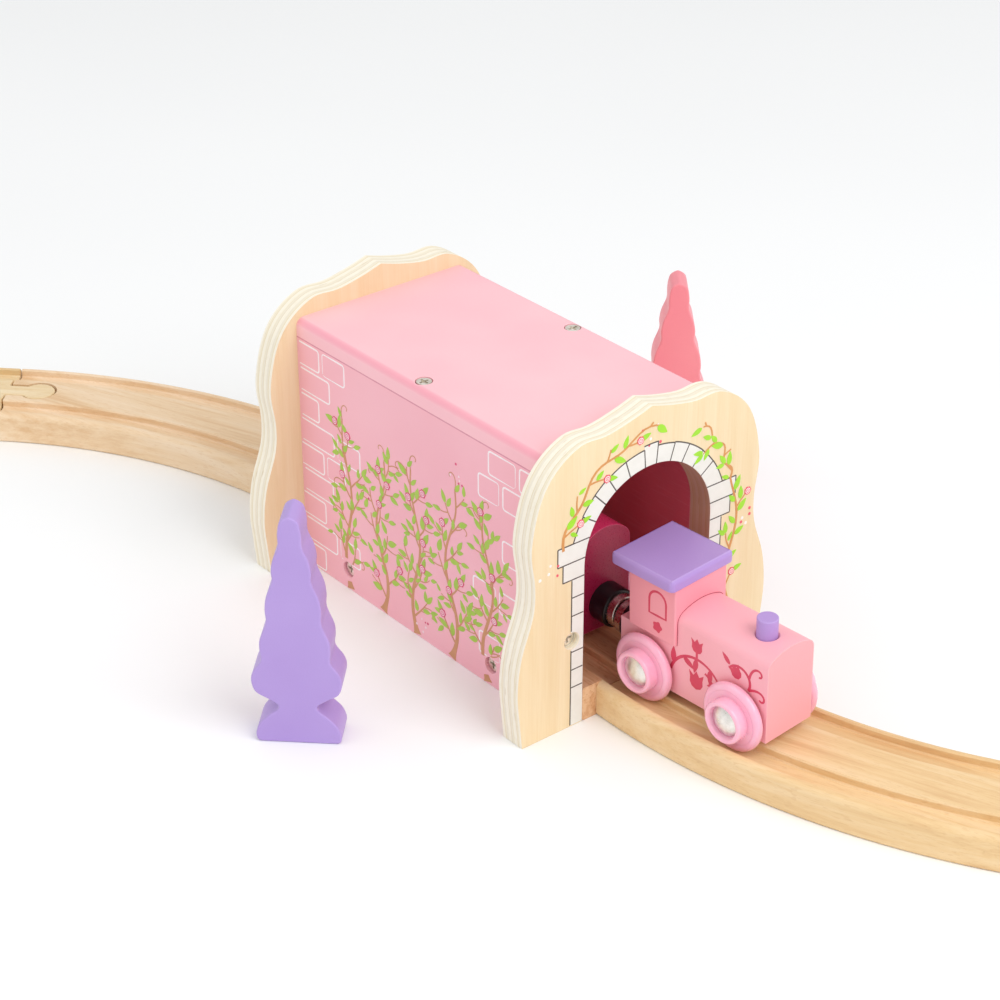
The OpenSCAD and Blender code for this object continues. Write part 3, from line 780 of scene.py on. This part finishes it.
def wall_tree(page, rng, foot, lean):
    """One climbing tree: flared foot, swaying trunk, forked branches, leaves, roses and tendrils."""
    height, swing = TREE_H * rng.uniform(0.92, 1.06), lean * rng.uniform(2.2, 3.4)
    sway = [(foot + swing * math.sin(math.tau * 1.35 * t / 8), 0.5 + height * t / 8) for t in range(9)]
    trunk = blend_line(sway, 5)
    last = len(trunk) - 1
    widths = []
    for i in range(last + 1):
        widths.append(0.6 + 1.2 * (1 - i / last) ** 1.3 + 2.4 * max(0.0, 1 - i / 4) ** 2)
    page.line("vine", trunk, widths, 2)
    side = lean
    for step in range(10):
        share = 0.12 + 0.088 * step
        at = trunk[int(share * last)]
        side = -side
        heading = 90 - side * (90 - rng.uniform(35, 60))
        length = rng.uniform(9.0, 12.5) * (1.1 - 0.45 * share)
        path = walk(rng, at, heading, length, side * rng.uniform(10, 55))
        page.line("vine", path, (0.85 - 0.3 * share, 0.36), 2)
        if rng.random() < 0.36:
            rose(page, path[-1], 1.5, 7)
        leaves_along(page, rng, path, 2.4, 2.7, 4.7, 3)
        fork = path[len(path) // 2]
        twig = walk(rng, fork, heading - side * rng.uniform(35, 70), length * 0.55, side * 30)
        page.line("vine", twig, (0.42, 0.28), 2)
        leaves_along(page, rng, twig, 1.9, 2.7, 4.1, 3)
        if rng.random() < 0.3:
            start = path[len(path) * 2 // 3]
            tendril(page, start, heading - side * 20, rng.uniform(7, 10), -side, 0.38)
    leaves_along(page, rng, trunk, 14.0, 4.6, 4.4, 3)
    tendril(page, trunk[-1], 90 - lean * 15, 9, lean, 0.4)


def both_sides(across, height, radius):
    """A place to keep clear and its mirror image."""
    return [(s * across, height, radius) for s in (-1, 1)]


def wall_print(name, face_y, seed):
    """The whole print of one side wall."""
    rng = random.Random(seed)
    out = 1 if face_y > 0 else -1
    holes = both_sides(*WALL_SCREWS)

    def field(p):
        return abs(p[0]) < FIELD_X and 0.3 < p[1] < FIELD_TOP

    place = (0, face_y, 0)
    page = Print(name, "tunnel", place, (-out, 0, 0), (0, out, 0), clear=holes, within=field)
    brickwork(page, rng)
    # painted shade: a darker line along the joint where the roof board lies on the wall
    page.ribbon("seam_shade", [(-INNER_HALF, WALL_TOP), (INNER_HALF, WALL_TOP)], [0.46, 0.46], 0, False)
    for i in range(TREES):
        wall_tree(page, rng, TREE_GAP * (i - (TREES - 1) / 2), 1 if i % 2 else -1)
    for z in (6, 44, 70):
        dots(page, rng, (rng.uniform(-30, 30), z), 4.0, 7)
    return page


# ---- portals: a stone arch and climbing roses
PORTAL_SCREWS = (30.65, 31.5, 3.05)
STONE_LOW = 0.4
STONE_IN = BORE_R + 0.05
COLUMN_OUT = 30.9
COLUMN_TOP = 53.4
COLUMN_COURSE = 6.5
COLUMN_STONES = 7
CAPITAL_MID = 59.5
CAPITAL_TOP = 65.8
CAPITALS = ((COLUMN_TOP, CAPITAL_MID, 34.5), (CAPITAL_MID, CAPITAL_TOP, 36.6))  # low, high, reach
RING_STONES = 11
RING_R = 32.2
KEYSTONE = 1.2  # how far the middle stone stands out
JOINT_W = 0.42
VINE_R = 35.5  # the climbing stems start this far from the arch's centre


def side_stones(page, s):
    """The column and the two wider stones on one side of the opening."""
    inner, column = s * STONE_IN, s * COLUMN_OUT
    screw_x, screw_z, screw_r = PORTAL_SCREWS
    notch = [(s * u, v) for u, v in around((screw_x, screw_z), screw_r, 275.0, 85.0, 15)]
    foot, head = [(inner, STONE_LOW), (column, STONE_LOW)], [(column, COLUMN_TOP), (inner, COLUMN_TOP)]
    page.fill("stone", foot + notch + head, 1)
    for z in (COLUMN_TOP - COLUMN_COURSE * i for i in range(COLUMN_STONES)):
        page.line("joint", [(s * (STONE_IN + 0.1), z), (s * (COLUMN_OUT - 0.1), z)], JOINT_W, 2)
    page.line("joint", [(column, 0.5 + i * 0.5) for i in range(106)], JOINT_W, 2)
    for low, high, reach in CAPITALS:
        rise = [low + (high - low) * i / 6 for i in range(7)]
        arc = [(s * math.sqrt(STONE_IN**2 - max(z - ARCH_Z, 0) ** 2), z) for z in rise]
        page.fill("stone", [(s * reach, low), *arc, (s * reach, high)], 1)
        for z, (u, _) in ((low, arc[0]), (high, arc[-1])):
            page.line("joint", [(u, z), (s * reach, z)], JOINT_W, 2)
        page.line("joint", [(s * reach, low), (s * reach, high)], JOINT_W, 2)


def stone_ring(page, rng):
    """The ring of stones over the opening, between the two capitals."""
    first, final = (math.degrees(math.asin((CAPITAL_TOP - ARCH_Z) / r)) for r in (STONE_IN, RING_R))
    stone = (180 - 2 * first) / RING_STONES
    cuts = [first + stone * i + rng.uniform(-1.4, 1.4) for i in range(RING_STONES + 1)]
    cuts[0], cuts[-1] = first, 180 - first
    for i, (a, b) in enumerate(zip(cuts, cuts[1:])):
        tall = RING_R + (KEYSTONE if i == RING_STONES // 2 else rng.uniform(-0.15, 0.2))
        begin = final if i == 0 else a
        end = 180 - final if i == len(cuts) - 2 else b
        shaded_inside = around((0, ARCH_Z), STONE_IN, b, a, 7)
        outside = around((0, ARCH_Z), tall, begin, end, 7)
        page.fill("stone", outside + shaded_inside, 1)
        page.line("joint", outside, JOINT_W, 2)
        if i:
            page.line("joint", [shaded_inside[-1], outside[0]], JOINT_W, 2)


def arch_stem(s, start, stop):
    """Points of a stem that waves along the arch on one side, by angle from the springing."""
    points = []
    for i in range(25):
        t = i / 24
        a = math.radians(start + (stop - start) * t)
        r = VINE_R + 3 * t + 1.2 * math.sin(math.tau * 2.5 * t)
        points.append((s * r * math.cos(a), ARCH_Z + r * math.sin(a)))
    return points


def climbing_rose(page, rng, stem):
    """A stem with shoots to both sides, every other one ending in a rose."""
    page.line("vine", stem, (1.0, 0.5), 4)
    every = len(stem) // 6
    for i, k in enumerate(range(every // 2, len(stem) - 1, every)):
        heading = heading_of(stem[k - 1], stem[k + 1]) + (48 if i % 2 else -48)
        shoot = walk(rng, stem[k], heading, rng.uniform(5.0, 8.0), rng.uniform(-30, 30))
        page.line("vine", shoot, (0.6, 0.38), 4)
        if i % 2 == 0:
            rose(page, shoot[-1], 1.35, 8)
        leaves_along(page, rng, shoot, 1.8, 2.4, 4.4, 5)
    leaves_along(page, rng, stem, 2.2, 3.4, 4.8, 5)


def portal_print(name, side, seed):
    """The whole print of one portal."""
    rng = random.Random(seed)
    holes = both_sides(*PORTAL_SCREWS)

    def field(p):
        """Inside the board's wavy edge, taken as an arch that narrows to a crest."""
        crown = 97.0 - 0.0052 * abs(p[0]) ** 2.35
        return 0.3 < p[1] < crown and abs(p[0]) < 44.5

    place = (side * HALF_LEN, 0, 0)
    page = Print(name, "tunnel", place, (0, side, 0), (side, 0, 0), clear=holes, within=field)
    for s in (-1, 1):
        side_stones(page, s)
    stone_ring(page, rng)
    over = arch_stem(-1, 14, 96)
    beside = [(VINE_R + 2.2 * math.sin(z / 6.5), z) for z in range(20, 64, 2)] + arch_stem(1, 16, 56)
    climbing_rose(page, rng, over)
    climbing_rose(page, rng, beside)
    for centre in ((-40, 60), (0, 92), (40, 50)):
        dots(page, rng, centre, 4.0, 6, 0.5)
    return page


# ---- engine: flowers on the boiler, a window and a blossom on the cab
def engine_frame():
    """The engine's axes, and the point of the floor under its middle."""
    yaw = Matrix.Rotation(math.radians(ENGINE_YAW), 3, "Z")
    turn = yaw @ Matrix.Rotation(math.radians(ENGINE_LEAN), 3, "X")
    ahead, across, up = (turn @ Vector(axis) for axis in ((1, 0, 0), (0, 1, 0), (0, 0, 1)))
    round_curve = math.radians(ENGINE_DEG)
    x = CURVE_AT[0] / MM + ENGINE_R * math.sin(round_curve)
    y = CURVE_AT[1] / MM - ENGINE_R * math.cos(round_curve)
    return ahead, across, up, Vector((x, y, GROOVE_Z)) - up * GROOVE_Z


CUP = [(0, 0), (0.12, 0.3), (0.36, 0.44), (0.66, 0.42), (1.02, 0.5), (0.8, 0.2), (1.1, 0.0)]


def tulip(page, base, heading, size, coat):
    """A three-pointed flower cup; CUP is its left half, along and across."""
    a = math.radians(heading)
    ahead, side = (math.cos(a), math.sin(a)), (-math.sin(a), math.cos(a))
    outline = []
    for t, w in CUP + [(t, -w) for t, w in CUP[-2:0:-1]]:
        outline.append(tuple(base[n] + size * (ahead[n] * t + side[n] * w) for n in (0, 1)))
    page.fill("crimson", outline, coat)


SCROLL = (0.0, 21.0)  # centre of the big stem between the wheels
SCROLL_R = 11.0
CURL = (17.0, 33.0)  # centre of the small stem ahead of the front wheel
CURL_R = 4.5
STEM = 2.0  # from the big stem to the flower on top of it
BIG_LEAVES = (  # place round the big stem, heading, length, width
    (150, 90, 6.0, 2.3),
    (120, -30, 5.5, 2.1),
    (90, -100, 5.5, 2.1),
    (60, -90, 5.5, 2.1),
    (30, -160, 5.5, 2.1),
)
WINDOW_X = -15.0
WINDOW_R = 3.5
WINDOW_LOW = 41.0
WINDOW_SPRING = 46.0
BLOSSOM_R = 1.8


def engine_print(name, side):
    """Flowers on one side of the boiler, a window and a blossom on the cab."""
    ahead, across, up, middle = engine_frame()
    out = across * side
    page = Print(f"{name}_boiler", "engine", middle + ahead * 0.4 + out * BODY_HALF, ahead, out, up=up)
    page.line("crimson", around(SCROLL, SCROLL_R, 165, 15, 24), (1.15, 0.7), 1)
    page.line("crimson", around(SCROLL, SCROLL_R * 0.75, 65, 0, 12), (0.8, 0.6), 1)
    page.line("crimson", around(CURL, CURL_R, 150, -30, 18), (0.8, 1.0), 1)
    crown = SCROLL[1] + SCROLL_R
    page.line("crimson", [(SCROLL[0], crown + STEM * t) for t in (-0.1, 0.5, 1.1)], 0.9, 1)
    tulip(page, (SCROLL[0], crown + STEM), 90, 4.8, 2)
    tulip(page, SCROLL, 90, 6.0, 2)
    tulip(page, CURL, 120, 4.6, 2)
    for turn, heading, length, width in BIG_LEAVES:
        leaf(page, "crimson", onward(SCROLL, turn, SCROLL_R), heading, length, width, 2)
    leaf(page, "crimson", (CURL[0] - CURL_R * 0.8, CURL[1] + CURL_R * 0.8), 135, 4.5, 1.7, 2)
    for rise, heading in ((2.0, 80), (-2.0, 30)):
        tendril(page, (CURL[0] + CURL_R * 0.9, CURL[1] + rise), heading, 10, -1, 0.9, "crimson")
    cab = Print(f"{name}_cab", "engine", middle + out * CAB_HALF, ahead, out, up=up)
    window = around((WINDOW_X, WINDOW_SPRING), WINDOW_R, 0, 180, 14)
    window += [(WINDOW_X + shift, WINDOW_LOW) for shift in (-WINDOW_R, 0, WINDOW_R)]
    cab.line("crimson", window, 0.8, 1, closed=True)
    cab.fill("crimson", lobed((WINDOW_X, (WINDOW_LOW + DECK_Z) / 2), BLOSSOM_R, 0.13, 5, 40), 1)
    return [page, cab]


def cab_seam_shade():
    """Painted shade: the thin dark line of the gap where the boiler meets the cab front."""
    ahead, across, up, middle = engine_frame()
    page = Print("cab_front", "engine", middle + ahead * CAB_FRONT, across, ahead, up=up)
    gap = 0.18
    inset, drop = BODY_HALF - SHOULDER_R, ARCH_R - SHOULDER_R
    arch_z = BOILER_TOP - ARCH_R
    shoulder_z = arch_z + math.sqrt(drop**2 - inset**2)
    lean = math.degrees(math.acos(inset / drop))
    r = SHOULDER_R + gap
    path = [(-BODY_HALF - gap, DECK_Z + 0.6), (-BODY_HALF - gap, (DECK_Z + shoulder_z) / 2)]
    path += around((-inset, shoulder_z), r, 180, 180 - lean, 8)
    path += around((0, arch_z), ARCH_R + gap, 180 - lean, lean, 25)[1:-1]
    path += around((inset, shoulder_z), r, lean, 0, 8)
    path += [(BODY_HALF + gap, (DECK_Z + shoulder_z) / 2), (BODY_HALF + gap, DECK_Z + 0.6)]
    page.line("seam_shade", path, 0.26, 1)
    return page


TUNNEL_INKS = {
    "chalk": ink("chalk_ink", "#FFF7F8", "#FDEEF0"),
    "vine": ink("vine_ink", "#D2996E", "#C98F64"),
    "leaf": ink("leaf_ink", "#AFCF50", "#A2C545"),
    # painted shade along the joint of roof and wall
    "seam_shade": ink("roof_seam_shade_ink", "#E39AAA", "#DB8C9E"),
    "rose": ink("rose_ink", "#E0557F", "#D64A75"),
    "petal": ink("petal_ink", "#FDE3E8", "#FBDAE0"),
}
PORTAL_INKS = {
    "stone": ink("stone_ink", "#EBE9E2", "#E6E4DC"),
    "joint": ink("joint_ink", "#5A534F", "#4A4340"),
    "vine": ink("portal_vine_ink", "#D99A5C", "#CF8F50"),
    "leaf": ink("portal_leaf_ink", "#A6E234", "#99DA2C"),
    "rose": ink("portal_rose_ink", "#EE6276", "#E4556B"),
    "petal": ink("portal_petal_ink", "#FFF6F1", "#FDEFE8"),
}
ENGINE_INKS = {
    "crimson": ink("crimson_ink", "#DE4A65", "#D43D5B"),
    # painted shade in the gap between the boiler and the cab
    "seam_shade": ink("cab_seam_shade_ink", "#BC5568", "#B04A5E"),
}

wall_print("right_print", -WALL_FACE, 11).build(TUNNEL_INKS)
wall_print("left_print", WALL_FACE, 29).build(TUNNEL_INKS)
portal_print("front_print", 1, 5).build(PORTAL_INKS)
portal_print("rear_print", -1, 8).build(PORTAL_INKS)
for page in engine_print("engine_right", -1) + engine_print("engine_left", 1) + [cab_seam_shade()]:
    page.build(ENGINE_INKS)


# ---------------------------------------------------------------- studio, metres
FLOOR_HALF = 6.0
FLOOR_LEVEL = -0.05 * MM
SKY_LIGHT = 0.72
LIT_PLACE = Vector((0, 0, 0.04))
LIGHTS = (  # name, place, size, power in watts
    ("key", (1.0, 0.1, 1.12), 1.0, 9.6),
    ("fill", (-0.5, -0.9, 1.1), 1.2, 3.0),
    ("front", (1.3, -0.15, 0.62), 0.5, 0.8),
)
CAMERA_AT = Vector((546.66, -444.90, 435.39)) * MM
AZIMUTH = math.radians(50.868)
ELEVATION = math.radians(29.376)
ROLL = math.radians(-0.1326)
LENS = 88.11
SENSOR = 36


def add_floor():
    h = FLOOR_HALF
    corners = [(x, y, FLOOR_LEVEL) for x, y in ((-h, -h), (h, -h), (h, h), (-h, h))]
    mesh = bpy.data.meshes.new("floor")
    mesh.from_pydata(corners, [], [(0, 1, 2, 3)])
    floor = bpy.data.objects.new("floor", mesh)
    bpy.context.scene.collection.objects.link(floor)
    look = Look("studio_floor")
    speck = look.noise(look.grain((0, 0, 0), (4, 4, 4)), detail=1)
    tone = look.ramp(speck, [(0.3, (0.955, 0.965, 0.97, 1)), (0.7, (0.97, 0.98, 0.985, 1))])
    mesh.materials.append(look.finish(tone, 0.7, Specular_IOR_Level=0.2))


def add_sky():
    world = bpy.data.worlds.new("studio_world")
    world.use_nodes = True
    background = world.node_tree.nodes["Background"]
    background.inputs["Color"].default_value = (1, 1, 1, 1)
    background.inputs["Strength"].default_value = SKY_LIGHT
    bpy.context.scene.world = world


def add_light(name, place, size, power):
    """A square panel that faces the middle of the tunnel."""
    data = bpy.data.lights.new(name, "AREA")
    data.shape = "SQUARE"
    data.size = size
    data.energy = power
    lamp = bpy.data.objects.new(name, data)
    lamp.location = place
    lamp.rotation_euler = (LIT_PLACE - Vector(place)).to_track_quat("-Z", "Y").to_euler()
    bpy.context.scene.collection.objects.link(lamp)


def add_camera():
    data = bpy.data.cameras.new("camera")
    data.sensor_width = SENSOR
    data.lens = LENS
    data.clip_start = 0.01
    data.clip_end = 50
    camera = bpy.data.objects.new("camera", data)
    level = math.cos(ELEVATION)
    ahead = Vector((-math.sin(AZIMUTH) * level, math.cos(AZIMUTH) * level, -math.sin(ELEVATION)))
    camera.rotation_mode = "QUATERNION"
    camera.rotation_quaternion = ahead.to_track_quat("-Z", "Y") @ Quaternion((0, 0, 1), ROLL)
    camera.location = CAMERA_AT
    bpy.context.scene.collection.objects.link(camera)
    bpy.context.scene.camera = camera


add_floor()
add_sky()
for light in LIGHTS:
    add_light(*light)
add_camera()
bpy.context.scene.view_settings.view_transform = "Standard"
